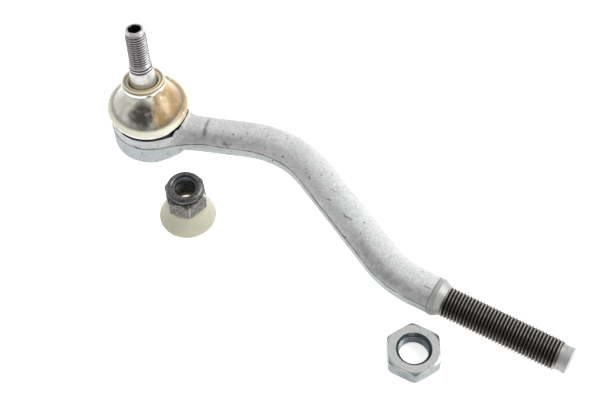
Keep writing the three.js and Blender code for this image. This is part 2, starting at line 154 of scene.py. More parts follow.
def camera():
    azimuth, elevation = math.radians(29.5), math.radians(57.5)
    target = Vector((0.0793, 0.0001, 0.003))
    distance = 0.6306
    back = Vector((
        math.sin(azimuth) * math.cos(elevation),
        -math.cos(azimuth) * math.cos(elevation),
        math.sin(elevation),
    ))
    data = bpy.data.cameras.new("camera")
    data.lens = 84
    data.sensor_width = 36
    data.clip_start = 0.01
    obj = bpy.data.objects.new("camera", data)
    obj.location = target + back * distance
    obj.rotation_euler = back.to_track_quat("Z", "Y").to_euler()
    bpy.context.collection.objects.link(obj)
    bpy.context.scene.camera = obj


def softbox(name, direction, distance, size, power):
    data = bpy.data.lights.new(name, "AREA")
    data.shape = "RECTANGLE"
    data.size, data.size_y = size
    data.energy = power
    obj = bpy.data.objects.new(name, data)
    heading = Vector(direction).normalized()
    obj.location = Vector((0.08, 0, 0)) + heading * distance
    obj.rotation_euler = heading.to_track_quat("Z", "Y").to_euler()
    bpy.context.collection.objects.link(obj)


def towards(tree, heading, direction):
    """How nearly a heading points in a direction: 1 if it does, -1 if it points away."""
    node = new_node(tree, "VectorMath", {0: heading, 1: direction})
    node.operation = "DOT_PRODUCT"
    return node.outputs["Value"]


def studio():
    """Soft light from all sides, weaker from high above the near side."""
    world = bpy.data.worlds.new("studio")
    world.use_nodes = True
    tree = world.node_tree
    heading = tree.nodes.new("ShaderNodeTexCoord").outputs["Generated"]
    behind = towards(tree, heading, (0, 0.9, 0.45))
    dark_side = towards(tree, heading, (0.26, -0.47, 0.84))
    rear_light = ramp(tree, behind, -0.5, 0.9, 0.52, 0.9)
    light = arithmetic(tree, "MULTIPLY", rear_light, ramp(tree, dark_side, 0.78, 0.97, 1, 0.45))
    set_inputs(tree, tree.nodes["Background"], {"Strength": light, "Color": (1, 1, 1, 1)})
    scene = bpy.context.scene
    scene.world = world
    scene.view_settings.view_transform = "Standard"
    softbox("key", (0.75, 0.6, 0.85), 1.0, (0.9, 0.6), 6.5)
    softbox("fill", (0.9, -0.9, 0.8), 1.2, (0.6, 0.4), 1.2)


def floor():
    """A white sheet that glows a little, as on a light table."""
    mesh = bpy.data.meshes.new("floor")
    reach = 3.0
    corners = [(-reach, -reach, 0), (reach, -reach, 0), (reach, reach, 0), (-reach, reach, 0)]
    mesh.from_pydata(corners, [], [(0, 1, 2, 3)])
    obj = bpy.data.objects.new("floor", mesh)
    bpy.context.collection.objects.link(obj)
    material, tree, shader = finish("floor", (0.9, 0.9, 0.9), 0, 0.9)
    set_inputs(tree, shader, {"Emission Color": (1, 1, 1, 1), "Emission Strength": 0.66})
    obj.data.materials.append(material)


# ---- Materials ----

def set_inputs(tree, node, values):
    """Puts numbers and colours on a node's inputs, or links the outputs of other nodes."""
    for name, value in values.items():
        if isinstance(value, bpy.types.NodeSocket):
            tree.links.new(value, node.inputs[name])
        else:
            node.inputs[name].default_value = value


def new_node(tree, kind, values):
    node = tree.nodes.new("ShaderNode" + kind)
    set_inputs(tree, node, values)
    return node


def finish(name, color, metallic, roughness):
    material = bpy.data.materials.new(name)
    material.use_nodes = True
    tree = material.node_tree
    shader = tree.nodes["Principled BSDF"]
    values = {"Base Color": (*color, 1), "Metallic": metallic, "Roughness": roughness}
    set_inputs(tree, shader, values)
    return material, tree, shader


def object_coordinates(tree):
    return tree.nodes.new("ShaderNodeTexCoord").outputs["Object"]


def object_axis(tree, axis):
    """One object coordinate, in metres."""
    return new_node(tree, "SeparateXYZ", {"Vector": object_coordinates(tree)}).outputs[axis]


def noise_node(tree, scale, detail=4, stretch=None):
    """Noise with features about 1000 / scale mm across."""
    place = object_coordinates(tree)
    if stretch:
        place = new_node(tree, "Mapping", {"Scale": stretch, "Vector": place}).outputs["Vector"]
    values = {"Scale": scale, "Detail": detail, "Vector": place}
    return new_node(tree, "TexNoise", values).outputs["Fac"]


def ramp(tree, value, low, high, start=0.0, end=1.0):
    """value remapped from low..high to start..end, held at both ends."""
    node = new_node(tree, "MapRange", {
        "Value": value, "From Min": low, "From Max": high, "To Min": start, "To Max": end,
    })
    node.interpolation_type = "SMOOTHSTEP"
    return node.outputs["Result"]


def patches(tree, scale, detail, low, high, start=0.0, end=1.0, stretch=None):
    """Noise remapped from low..high to start..end."""
    return ramp(tree, noise_node(tree, scale, detail, stretch), low, high, start, end)


def arithmetic(tree, operation, a, b):
    node = new_node(tree, "Math", {0: a, 1: b})
    node.operation = operation
    return node.outputs["Value"]


def add(tree, a, b):
    return arithmetic(tree, "ADD", a, b)


def subtract(tree, a, b):
    return arithmetic(tree, "SUBTRACT", a, b)


def multiply(tree, a, b):
    return arithmetic(tree, "MULTIPLY", a, b)


def mix(tree, share, a, b):
    """From colour a to colour b, by a share of 0 to 1."""
    node = new_node(tree, "Mix", {"Factor": share})
    node.data_type = "RGBA"
    places = [place for place, socket in enumerate(node.inputs) if socket.type == "RGBA"]
    colors = [(*color, 1) if isinstance(color, tuple) else color for color in (a, b)]
    set_inputs(tree, node, dict(zip(places, colors)))
    return next(socket for socket in node.outputs if socket.type == "RGBA")


def bump(tree, shader, height, distance, strength, after=None):
    node = new_node(tree, "Bump", {"Strength": strength, "Distance": distance, "Height": height})
    if after:
        tree.links.new(after, node.inputs["Normal"])
    tree.links.new(node.outputs["Normal"], shader.inputs["Normal"])
    return node.outputs["Normal"]


def attribute(tree, name):
    node = new_node(tree, "Attribute", {})
    node.attribute_name = name
    return node.outputs["Fac"]


def soften_light(tree, shader, weight, radius):
    """Lets light scatter below the surface, as in rubber and plastic. radius is in metres."""
    values = {"Subsurface Weight": weight, "Subsurface Radius": radius, "Subsurface Scale": 1}
    set_inputs(tree, shader, values)


def coat_material():
    """Matt silver paint over a grainy forging: dark specks and a dark flash line, with painted
    shade on the near flank and over the lower half."""
    material, tree, shader = finish("forging_coat", (0.5, 0.51, 0.52), 0.15, 0.6)
    cloud = patches(tree, 110, 5, 0.35, 0.68)
    tone = mix(tree, cloud, (0.57, 0.575, 0.58), (0.61, 0.615, 0.62))
    grain = noise_node(tree, 1100)
    tone = mix(tree, ramp(tree, grain, 0.36, 0.5, 0.3, 0), tone, (0.3, 0.3, 0.3))
    tone = mix(tree, ramp(tree, grain, 0.55, 0.66, 0, 0.4), tone, (0.82, 0.82, 0.83))
    # painted shade: below the flash line the coat is darker and bluer, set against the floor's glow
    shaded_lower_half = ramp(tree, object_axis(tree, "Z"), 0.0105, 0.0135, 0.62, 0)
    tone = mix(tree, shaded_lower_half, tone, (0.4, 0.46, 0.47))
    # painted shade on the near flank, broken up by noise
    flank_shade_share = multiply(tree, attribute(tree, "flank_shade"), patches(tree, 330, 5, 0.28, 0.68, 0.5, 1))
    tone = mix(tree, flank_shade_share, tone, (0.2, 0.2, 0.195))
    specks = multiply(tree, patches(tree, 620, 2, 0.66, 0.71), patches(tree, 55, 3, 0.44, 0.62))
    tone = mix(tree, specks, tone, (0.1, 0.09, 0.08))
    scratches = patches(tree, 260, 1, 0.72, 0.74, 0, 0.65, stretch=(0.35, 2.2, 1))
    tone = mix(tree, scratches, tone, (0.12, 0.11, 0.1))
    line = multiply(tree, attribute(tree, "seam"), patches(tree, 160, 3, 0.3, 0.6, 0.35, 1))
    tone = mix(tree, line, tone, (0.07, 0.065, 0.06))
    rough = patches(tree, 260, 4, 0.3, 0.7, 0.5, 0.72)
    set_inputs(tree, shader, {"Base Color": tone, "Roughness": rough})
    pitted = bump(tree, shader, noise_node(tree, 480), 0.00035, 0.55)
    bump(tree, shader, grain, 0.0002, 0.8, after=pitted)
    return material


def machined_material():
    """Turned steel with fine rings across the shank, and a painted highlight that brightens the end face."""
    material, tree, shader = finish("machined_steel", (0.5, 0.5, 0.5), 0.6, 0.5)
    lathe_marks = noise_node(tree, 900, 2, stretch=(6, 0.25, 0.25))
    rings = ramp(tree, lathe_marks, 0.3, 0.7)
    tone = mix(tree, rings, (0.3, 0.3, 0.295), (0.47, 0.47, 0.465))
    # painted highlight: the tip's chamfer rim and end face are lightened
    end_face_highlight = ramp(tree, object_axis(tree, "X"), 0.2177, 0.2181, 0, 0.5)
    tone = mix(tree, end_face_highlight, tone, (0.8, 0.8, 0.8))
    tree.links.new(tone, shader.inputs["Base Color"])
    bump(tree, shader, lathe_marks, 0.00004, 0.6)
    return material


def threaded_material(name, root, flank, crest, roughness, wear=0.0):
    """Rolled thread: the depth attribute is 0 on the crests and 1 in the roots, and near 1 where
    shade is painted in grooves, sockets and bores; the reflection attribute is 1 where a painted dark
    reflection lies along the thread. wear widens the rubbed crests."""
    material, tree, shader = finish(name, flank, 0.85, roughness)
    depth = attribute(tree, "thread_depth_and_shade")
    worn = noise_node(tree, 300)
    uneven_depth = add(tree, depth, multiply(tree, worn, 0.25))
    below_crest = ramp(tree, uneven_depth, 0.1 + wear, 0.45 + wear)
    tone = mix(tree, below_crest, crest, flank)
    tone = mix(tree, ramp(tree, depth, 0.4, 0.95), tone, root)
    tone = mix(tree, patches(tree, 700, 3, 0.6, 0.75, 0, 0.5), tone, root)
    # painted reflection: a dark band is mixed towards the root colour
    tone = mix(tree, attribute(tree, "dark_reflection"), tone, root)
    rough = ramp(tree, worn, 0.3, 0.7, roughness - 0.07, roughness + 0.12)
    set_inputs(tree, shader, {"Base Color": tone, "Roughness": rough})
    bump(tree, shader, noise_node(tree, 1200, 3), 0.00003, 0.6)
    return material


def phosphate_material():
    """Dark phosphated steel, rubbed light in streaks and blotches."""
    material, tree, shader = finish("phosphate_steel", (0.1, 0.1, 0.095), 0.75, 0.35)
    rubbed = noise_node(tree, 900, 5)
    streaks = ramp(tree, rubbed, 0.36, 0.62)
    tone = mix(tree, streaks, (0.06, 0.059, 0.056), (0.17, 0.166, 0.158))
    blotches = patches(tree, 240, 3, 0.5, 0.7, 0, 0.5)
    tone = mix(tree, blotches, tone, (0.035, 0.033, 0.03))
    tone = mix(tree, attribute(tree, "worn"), tone, (0.42, 0.41, 0.39))
    # darkest in the thread roots, plus painted shade in the bore, the crown's crease and inside its lip
    hollow = ramp(tree, attribute(tree, "thread_depth_and_shade"), 0.1, 0.9)
    tone = mix(tree, hollow, tone, (0.006, 0.006, 0.006))
    rough = ramp(tree, rubbed, 0.3, 0.7, 0.42, 0.3)
    set_inputs(tree, shader, {"Base Color": tone, "Roughness": rough})
    bump(tree, shader, noise_node(tree, 1300, 3), 0.00008, 0.7)
    return material


def mottled_material(name, dark, light, metallic, roughness, grain=0.00004):
    """A finish of two close tones in soft patches, with a fine grain."""
    material, tree, shader = finish(name, light, metallic, roughness)
    tone = mix(tree, patches(tree, 250, 5, 0.35, 0.65), dark, light)
    rough = patches(tree, 500, 3, 0.3, 0.7, roughness - 0.06, roughness + 0.08)
    set_inputs(tree, shader, {"Base Color": tone, "Roughness": rough})
    bump(tree, shader, noise_node(tree, 1400, 3), grain, 0.6)
    return material


def amber_rubber(tree, side, front):
    """The boot's thin side: amber, with pale streaks and a brown one low at the front."""
    cloud = patches(tree, 130, 4, 0.35, 0.65)
    tone = mix(tree, cloud, (0.36, 0.22, 0.08), (0.6, 0.43, 0.2))
    pale = patches(tree, 260, 4, 0.6, 0.68, 0, 0.7, stretch=(1, 1, 0.3))
    tone = mix(tree, pale, tone, (0.85, 0.76, 0.5))
    low = ramp(tree, add(tree, front, multiply(tree, side, 0.45)), 0.0135, 0.0165)
    brown = multiply(tree, low, patches(tree, 190, 3, 0.42, 0.56, 0.1, 0.85))
    return mix(tree, brown, tone, (0.13, 0.08, 0.05))


def smoky_rubber(tree, side, front):
    """The boot's grey side, with a dark pool of grease behind it."""
    cloud = patches(tree, 170, 4, 0.35, 0.68)
    tone = mix(tree, cloud, (0.58, 0.57, 0.49), (0.86, 0.85, 0.76))
    across = arithmetic(tree, "DIVIDE", add(tree, side, 0.0005), 0.008)
    along = arithmetic(tree, "DIVIDE", subtract(tree, front, 0.011), 0.0052)
    reach = add(tree, arithmetic(tree, "POWER", across, 2), arithmetic(tree, "POWER", along, 2))
    pool = multiply(tree, ramp(tree, reach, 0.15, 1.5, 1, 0), patches(tree, 230, 4, 0.3, 0.55, 0.6, 1))
    return mix(tree, pool, tone, (0.05, 0.045, 0.035))


def boot_material():
    """Translucent rubber: cream at its thick rim, amber where it is thin, and smoky grey where
    grease lies behind it at the front."""
    material, tree, shader = finish("boot_rubber", (0.5, 0.4, 0.24), 0, 0.25)
    north = object_axis(tree, "Y")
    wobble = multiply(tree, subtract(tree, noise_node(tree, 150), 0.5), 0.006)
    east = add(tree, object_axis(tree, "X"), wobble)
    side = add(tree, multiply(tree, east, 0.87), multiply(tree, north, 0.49))
    front = subtract(tree, multiply(tree, east, 0.49), multiply(tree, north, 0.87))
    smoky, amber = smoky_rubber(tree, side, front), amber_rubber(tree, side, front)
    tone = mix(tree, ramp(tree, side, 0.0028, 0.0046), smoky, amber)
    far_side = subtract(tree, side, multiply(tree, front, 0.5))
    rim = multiply(tree, attribute(tree, "thick"), ramp(tree, far_side, 0.004, 0.014, 1, 0.15))
    tone = mix(tree, rim, tone, (0.88, 0.86, 0.7))
    tone = mix(tree, attribute(tree, "lip"), tone, (0.7, 0.6, 0.38))
    # painted shade in the creases inside the rim bead and by the lip
    tone = mix(tree, attribute(tree, "crease_shade"), tone, (0.07, 0.065, 0.05))
    set_inputs(tree, shader, {"Base Color": tone, "Coat Weight": 0.5, "Coat Roughness": 0.1})
    soften_light(tree, shader, 0.2, (0.003, 0.0024, 0.0014))
    bump(tree, shader, noise_node(tree, 320, 3), 0.0002, 0.4)
    return material


def skirt_material():
    """Slightly translucent cream polyethylene."""
    material, tree, shader = finish("cream_plastic", (0.62, 0.6, 0.46), 0, 0.4)
    cloud = patches(tree, 90, 3, 0.3, 0.7)
    tone = mix(tree, cloud, (0.42, 0.405, 0.3), (0.49, 0.475, 0.37))
    tree.links.new(tone, shader.inputs["Base Color"])
    soften_light(tree, shader, 0.3, (0.004, 0.0035, 0.0025))
    bump(tree, shader, noise_node(tree, 500, 3), 0.00006, 0.5)
    return material


# ---- Mesh helpers ----

def arc(x, y, radius, start, end, steps):
    """Points of an arc in degrees, both ends included."""
    angles = np.radians(np.linspace(start, end, steps + 1))
    return [(x + radius * math.cos(a), y + radius * math.sin(a)) for a in angles]


def rounded(points, radius, steps=3, closed=False):
    """The outline with its corners rounded by up to that radius."""
    points = [np.array(p, float) for p in points]
    result = []
    count = len(points)
    for i, corner in enumerate(points):
        if not closed and i in (0, count - 1):
            result.append(corner)
            continue
        into, out = points[i - 1] - corner, points[(i + 1) % count] - corner
        reach_in, reach_out = np.linalg.norm(into), np.linalg.norm(out)
        into, out = into / reach_in, out / reach_out
        if np.dot(into, out) < -0.985:
            result.append(corner)
            continue
        cut = min(radius, reach_in * 0.45, reach_out * 0.45)
        for t in np.linspace(0, 1, steps + 1):
            result.append(corner + into * cut * (1 - t) ** 2 + out * cut * t ** 2)
    return result


def around(steps):
    return np.arange(steps) * TAU / steps


def rows(radii, heights, angles):
    """Points of rings: radii is (rings,) or (rings, angles), heights is (rings,)."""
    radii = np.asarray(radii, float)
    if radii.ndim == 1:
        radii = radii[:, None] * np.ones_like(angles)
    heights = np.asarray(heights, float)[:, None] * np.ones_like(angles)
    return np.stack([radii * np.cos(angles), radii * np.sin(angles), heights], -1)


def profile_rows(profile, angles):
    profile = np.array(profile, float)
    return rows(profile[:, 0], profile[:, 1], angles)


def hexagon_radius(apothem, angles, turn=0.0):
    """Radius of a hexagon with corners at turn, cut slightly off at its corners."""
    from_flat = (angles - turn) % (TAU / 6) - TAU / 12
    reach = 0.98 / math.cos(TAU / 12)
    return apothem * np.minimum(1 / np.cos(from_flat), reach)


def thread_shape(heights, angles, start, end, pitch):
    """0 on the crests and 1 in the roots of a right-hand thread, fading in at both ends."""
    phase = (heights[:, None] - start) / pitch - angles[None, :] / TAU
    wave = np.abs(phase % 1.0 - 0.5) * 2
    depth = np.clip((0.9 - wave) / 0.68, 0, 1)
    run_in = np.clip((heights - start) / (0.8 * pitch), 0, 1)
    run_out = np.clip((end - heights) / (0.8 * pitch), 0, 1)
    return depth * (run_in * run_out)[:, None]


def put_values(mesh, label, numbers):
    layer = mesh.attributes.new(label, "FLOAT", "POINT")
    layer.data.foreach_set("value", np.asarray(numbers, np.float32).reshape(-1))


def skin(name, points, closed=False, values=None, sharp=32):
    """A mesh through rings of points, in millimetres. values are named numbers per point."""
    rings, steps = points.shape[:2]
    index = np.arange(rings * steps).reshape(rings, steps)
    pairs = [(k, (k + 1) % rings) for k in range(rings if closed else rings - 1)]
    faces = []
    for low, high in pairs:
        a, b = index[low], index[high]
        faces.append(np.stack([a, np.roll(a, -1), np.roll(b, -1), b], -1))
    mesh = bpy.data.meshes.new(name)
    mesh.from_pydata((points.reshape(-1, 3) * MM).tolist(), [], np.concatenate(faces).tolist())
    for label, numbers in (values or {}).items():
        put_values(mesh, label, numbers)
    return tidy_object(name, mesh, sharp)


def shade_smooth(work, sharp):
    """Smooths the faces and keeps edges sharper than an angle in degrees."""
    limit = math.radians(sharp)
    for face in work.faces:
        face.smooth = True
    for edge in work.edges:
        edge.smooth = edge.calc_face_angle(0) < limit


def tidy_object(name, mesh, sharp):
    """Merges doubled points, turns faces outwards and marks edges sharper than an angle."""
    work = bmesh.new()
    work.from_mesh(mesh)
    bmesh.ops.remove_doubles(work, verts=work.verts, dist=2e-7)
    bmesh.ops.dissolve_degenerate(work, edges=work.edges, dist=1e-7)
    bmesh.ops.recalc_face_normals(work, faces=work.faces)
    shade_smooth(work, sharp)
    work.to_mesh(mesh)
    work.free()
    obj = bpy.data.objects.new(name, mesh)
    bpy.context.collection.objects.link(obj)
    return obj


def evaluated_mesh(obj):
    """The object's mesh after its modifiers."""
    depsgraph = bpy.context.evaluated_depsgraph_get()
    return bpy.data.meshes.new_from_object(obj.evaluated_get(depsgraph))


def install(obj, node, body, material=None):
    """The piece stands for its CAD node, rides on a body and takes its finish from a slot."""
    if material:
        obj.data.materials.append(material)
    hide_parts(node)
    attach(obj, body)


def rectangle(inner, outer, base, height):
    """Outline of a flat ring's section."""
    return [(inner, base), (outer, base), (outer, base + height), (inner, base + height)]


def turned_ring(name, outline, steps, radius, place=None):
    """A ring turned from a closed outline with edges rounded by that radius."""
    points = profile_rows(rounded(outline, radius, closed=True), around(steps))
    if place:
        points = place(points)
    return skin(name, points, closed=True)


# ---- Forging ----

def centreline_parts():
    """The arm's centreline as lines and arcs: (kind, data, start length, end length)."""
    corners = [np.array(c, float) for c in ARM_CORNERS]
    parts, length, here = [], 0.0, corners[0]
    for i in range(1, len(corners) - 1):
        into = (corners[i] - corners[i - 1]) / np.linalg.norm(corners[i] - corners[i - 1])
        out = (corners[i + 1] - corners[i]) / np.linalg.norm(corners[i + 1] - corners[i])
        bend = math.atan2(into[0] * out[1] - into[1] * out[0], float(into @ out))
        tangent = BEND_RADIUS * math.tan(abs(bend) / 2)
        start = corners[i] - into * tangent
        reach = float(np.linalg.norm(start - here))
        parts.append(("line", (here, into, reach), length))
        length += reach
        side = math.copysign(1, bend)
        centre = start + side * BEND_RADIUS * np.array([-into[1], into[0]])
        first = math.atan2(*(start - centre)[::-1])
        parts.append(("arc", (centre, first, bend, side), length))
        length += BEND_RADIUS * abs(bend)
        here = corners[i] + out * tangent
    reach = float(np.linalg.norm(corners[-1] - here))
    parts.append(("line", (here, out, reach), length))
    return parts, length + reach


PARTS, ARM_LENGTH = centreline_parts()


def along_and_aside(xy):
    """For points seen from above: length along the centreline, distance to its left, and how
    far they lie past its ends."""
    best = np.full(len(xy), np.inf)
    along, aside, past = np.zeros(len(xy)), np.zeros(len(xy)), np.zeros(len(xy))
    for kind, data, base in PARTS:
        if kind == "line":
            start, heading, reach = data
            offset = xy - start
            t = offset @ heading
            left = offset @ np.array([-heading[1], heading[0]])
            held = np.clip(t, 0, reach)
            over, travelled = t - held, held
        else:
            centre, first, bend, side = data
            offset = xy - centre
            turn = (np.arctan2(offset[:, 1], offset[:, 0]) - first) * side
            turn = (turn + math.pi) % TAU - math.pi
            held = np.clip(turn, 0, abs(bend))
            radius = np.linalg.norm(offset, axis=1)
            left = side * (BEND_RADIUS - radius)
            over, travelled = (turn - held) * BEND_RADIUS, held * BEND_RADIUS
        distance = np.hypot(left, over)
        nearer = distance < best
        best = np.where(nearer, distance, best)
        along = np.where(nearer, base + travelled, along)
        aside = np.where(nearer, left, aside)
        past = np.where(nearer, over, past)
    return along, aside, past


def smoothstep(value, low, high):
    t = np.clip((value - low) / (high - low), 0, 1)
    return t * t * (3 - 2 * t)


def half_width(share):
    """The arm's half width at a share of its length, eased between the given widths."""
    last = len(ARM_HALF_WIDTHS) - 1
    span = np.clip(share, 0, 1) * last
    step = np.minimum(np.floor(span).astype(int), last - 1)
    widths = np.array(ARM_HALF_WIDTHS)
    return widths[step] + (widths[step + 1] - widths[step]) * smoothstep(span - step, 0, 1)


def end_slant(aside):
    """How far the arm reaches past the end of its centreline."""
    return ARM_END_SLANT * np.clip(-aside / ARM_HALF_WIDTHS[-1], 0, 1)


def rounded_corner(across, up, radius):
    """Distance to two faces that meet in a rounded corner, from the distances to each."""
    across, up = across + radius, up + radius
    outside = np.hypot(np.maximum(across, 0), np.maximum(up, 0))
    return outside + np.minimum(np.maximum(across, up), 0) - radius


def arm_distance(points):
    """Roughly the distance to the arm's surface, negative inside."""
    along, aside, past = along_and_aside(points[:, :2])
    width = half_width(along / ARM_LENGTH)
    rise = points[:, 2] - ARM_MIDDLE
    upper = (np.sqrt((aside / width) ** 2 + (rise / ARM_UPPER) ** 2) - 1) * ARM_UPPER
    top, height, corner = BOX_TOP
    narrowed = width - (width - top) * np.clip(rise / height, 0, 1)
    box = rounded_corner(np.abs(aside) - narrowed, rise - height, corner)
    share = smoothstep(along, *BOX_END)
    upper = box * (1 - share) + upper * share
    taper = width - ARM_DRAFT * np.clip(-rise / ARM_LOWER, 0, 1)
    lower = rounded_corner(np.abs(aside) - taper, -rise - ARM_LOWER, ARM_CORNER)
    side = np.where(rise > 0, upper, lower)
    return np.maximum(side, np.where(past > 0, past - end_slant(aside), -past) - 0.01)


def housing_distance(points):
    radius = np.hypot(points[:, 0], points[:, 1])
    middle = HOUSING_HEIGHT / 2
    return rounded_corner(radius - HOUSING_RADIUS, np.abs(points[:, 2] - middle) - middle, HOUSING_EDGE)


def forging_distance(points):
    """The housing and the arm, blended where they meet."""
    a, b = housing_distance(points), arm_distance(points)
    share = np.clip(0.5 + 0.5 * (b - a) / FILLET, 0, 1)
    return b * (1 - share) + a * share - FILLET * share * (1 - share)


def settle(points, rounds=5):
    """Moves points along the field's gradient onto the forging's surface."""
    step = 0.05
    for _ in range(rounds):
        value = forging_distance(points)
        slope = np.stack([
            (forging_distance(points + step * axis) - value) / step for axis in np.eye(3)
        ], -1)
        size = np.maximum((slope ** 2).sum(1), 0.05)
        points = points - slope * np.clip(value / size, -0.6, 0.6)[:, None]
    return points


def box_of_voxels():
    """A coarse closed skin just round the forging, from a voxel remesh of its two bodies."""
    housing = profile_rows([
        (0, 0), (HOUSING_RADIUS, 0), (HOUSING_RADIUS, HOUSING_HEIGHT), (0, HOUSING_HEIGHT),
    ], around(64))
    housing = skin("rough_housing", housing)
    spine = []
    for kind, data, _ in PARTS:
        if kind == "line":
            start, heading, reach = data
            spine += [(start + heading * t, heading) for t in np.linspace(0, reach, 12)]
        else:
            centre, first, bend, side = data
            for turn in np.linspace(0, bend, 14)[1:-1]:
                radial = np.array([math.cos(first + turn), math.sin(first + turn)])
                spine.append((centre + radial * BEND_RADIUS, side * np.array([-radial[1], radial[0]])))
    angles = around(32)
    rings = []
    for point, heading in spine:
        left = np.array([-heading[1], heading[0]])
        ring = point + np.outer(np.cos(angles) * 8.3, left)
        rings.append(np.column_stack([ring, ARM_MIDDLE + np.sin(angles) * 7.8]))
    caps = [np.repeat(r.mean(0)[None], 32, 0) for r in (rings[0], rings[-1])]
    arm = skin("rough_arm", np.array([caps[0], *rings, caps[1]]))
    with bpy.context.temp_override(active_object=housing, selected_editable_objects=[housing, arm]):
        bpy.ops.object.join()
    remesh = housing.modifiers.new("remesh", "REMESH")
    remesh.mode = "VOXEL"
    remesh.voxel_size = VOXEL * MM
    mesh = evaluated_mesh(housing)
    bpy.data.objects.remove(housing)
    return mesh


def seam_height(points):
    """The flash line steps up from the housing to the arm."""
    along = along_and_aside(points[:, :2])[0]
    return HOUSING_SEAM + (ARM_SEAM - HOUSING_SEAM) * smoothstep(along, 12, 26)


def refine_seam(mesh):
    """Splits the faces beside the flash line, so that it has points to stand on."""
    work = bmesh.new()
    work.from_mesh(mesh)
    for reach in (1.3, 0.8):
        work.verts.ensure_lookup_table()
        places = np.array([v.co for v in work.verts]) / MM
        near = np.abs(places[:, 2] - seam_height(places)) < reach
        band = [edge for edge in work.edges if near[edge.verts[0].index] and near[edge.verts[1].index]]
        bmesh.ops.subdivide_edges(work, edges=band, cuts=1, use_grid_fill=True)
    work.to_mesh(mesh)
    work.free()


def points_of(mesh):
    flat = np.empty(len(mesh.vertices) * 3)
    mesh.vertices.foreach_get("co", flat)
    return flat.reshape(-1, 3) / MM


def put_points(mesh, points):
    mesh.vertices.foreach_set("co", (points * MM).reshape(-1))
    mesh.update()


def rough_surface(points, normals):
    """The forging's slight unevenness, the flash line left at the parting plane and the die's
    step mark. Also says how dark each point is: first along lines, then with painted shade on the near
    flank."""
    waves = np.array([
        sum(noise.noise(Vector(p) / spacing) * size for spacing, size in WAVES) for p in points
    ])
    away = points[:, 2] - seam_height(points)
    wander = np.array([noise.noise(Vector((p[0] / 14, p[1] / 14, 0))) * 0.25 for p in points])
    upright = np.clip(1.5 - np.abs(normals[:, 2]) * 1.6, 0, 1)
    seam = np.exp(-((away - wander) / SEAM_SIZE) ** 2) * upright
    along, aside, past = along_and_aside(points[:, :2])
    place = STEP_MARK + 0.12 * aside + waves * 7
    mark = np.exp(-((along - place) / 0.7) ** 2) * smoothstep(points[:, 2], 16, 18)
    height = waves + SEAM_SIZE * seam - STEP_MARK_DEPTH * mark
    reach = along + past - end_slant(aside)
    lip = smoothstep(reach + waves * 3, ARM_LENGTH - 0.9, ARM_LENGTH - 0.3)
    # painted shade: the upper flank on the near side is darkened, most near both ends of the arm
    flank = smoothstep(away, 0.2, 1.2) * smoothstep(-aside, 1.5, 5.5)
    heavy = 0.15 + 0.5 * (1 - smoothstep(along, 35, 75)) + 0.55 * smoothstep(along, 112, 130)
    flank_shade = flank * heavy * smoothstep(along, 9, 14)
    lines = np.maximum(np.maximum(seam, mark * 0.8), lip)
    return points + normals * height[:, None], lines, flank_shade


def cutter(name, outline, closed, material):
    obj = skin(name, profile_rows(outline, around(FINE_STEPS)), closed=closed)
    obj.data.materials.append(material)
    return obj


def machine_housing(obj):
    """Bores the housing from below, faces its top flat and turns the step round the boot's neck."""
    start = math.degrees(math.acos(BORE_RADIUS / SOCKET_SPHERE))
    top = math.degrees(math.asin((HOUSING_HEIGHT - BALL[2]) / SOCKET_SPHERE))
    dome = arc(0, BALL[2], SOCKET_SPHERE, start, top, 8)
    bore = [
        (0, -1), (BORE_MOUTH, -1), (BORE_MOUTH, 0.6), (COVER_GROOVE, 0.6), (COVER_GROOVE, 3.4),
        (BORE_RADIUS, 3.4), *dome, (NECK_RADIUS + 0.3, HOUSING_HEIGHT),
        (NECK_RADIUS + 0.3, HOUSING_HEIGHT + 4), (0, HOUSING_HEIGHT + 4),
    ]
    step = [
        (NECK_RADIUS, SHOULDER), (NECK_CUT_RADIUS, SHOULDER),
        (NECK_CUT_RADIUS, HOUSING_HEIGHT + 5), (NECK_RADIUS, HOUSING_HEIGHT + 5),
    ]
    # painted shade: the turned faces are nearly black, for the shadow under the boot's lower ring
    turned = mottled_material("turned_faces_painted_shade", (0.035, 0.034, 0.032), (0.12, 0.12, 0.12), 0.6, 0.4)
    tools = [cutter("bore_cutter", bore, False, turned), cutter("step_cutter", step, True, turned)]
    for tool in tools:
        cut = obj.modifiers.new(tool.name, "BOOLEAN")
        cut.operation = "DIFFERENCE"
        cut.solver = "EXACT"
        cut.material_mode = "TRANSFER"
        cut.object = tool
    mesh = evaluated_mesh(obj)
    obj.modifiers.clear()
    obj.data = mesh
    for tool in tools:
        bpy.data.objects.remove(tool)


def forging():
    mesh = box_of_voxels()
    refine_seam(mesh)
    put_points(mesh, settle(points_of(mesh)))
    normals = np.empty(len(mesh.vertices) * 3)
    mesh.vertices.foreach_get("normal", normals)
    points, lines, flank_shade = rough_surface(points_of(mesh), normals.reshape(-1, 3))
    points[:, 2] = np.maximum(points[:, 2], 0)
    put_points(mesh, points)
    put_values(mesh, "seam", lines)
    put_values(mesh, "flank_shade", flank_shade)
    obj = tidy_object("forged_arm_body", mesh, sharp=50)
    obj.data.materials.append(coat_material())
    machine_housing(obj)
    mark_sharp(obj.data, 50)
    install(obj, "forged_arm", "arm")


def mark_sharp(mesh, sharp):
    work = bmesh.new()
    work.from_mesh(mesh)
    shade_smooth(work, sharp)
    work.to_mesh(mesh)
    work.free()


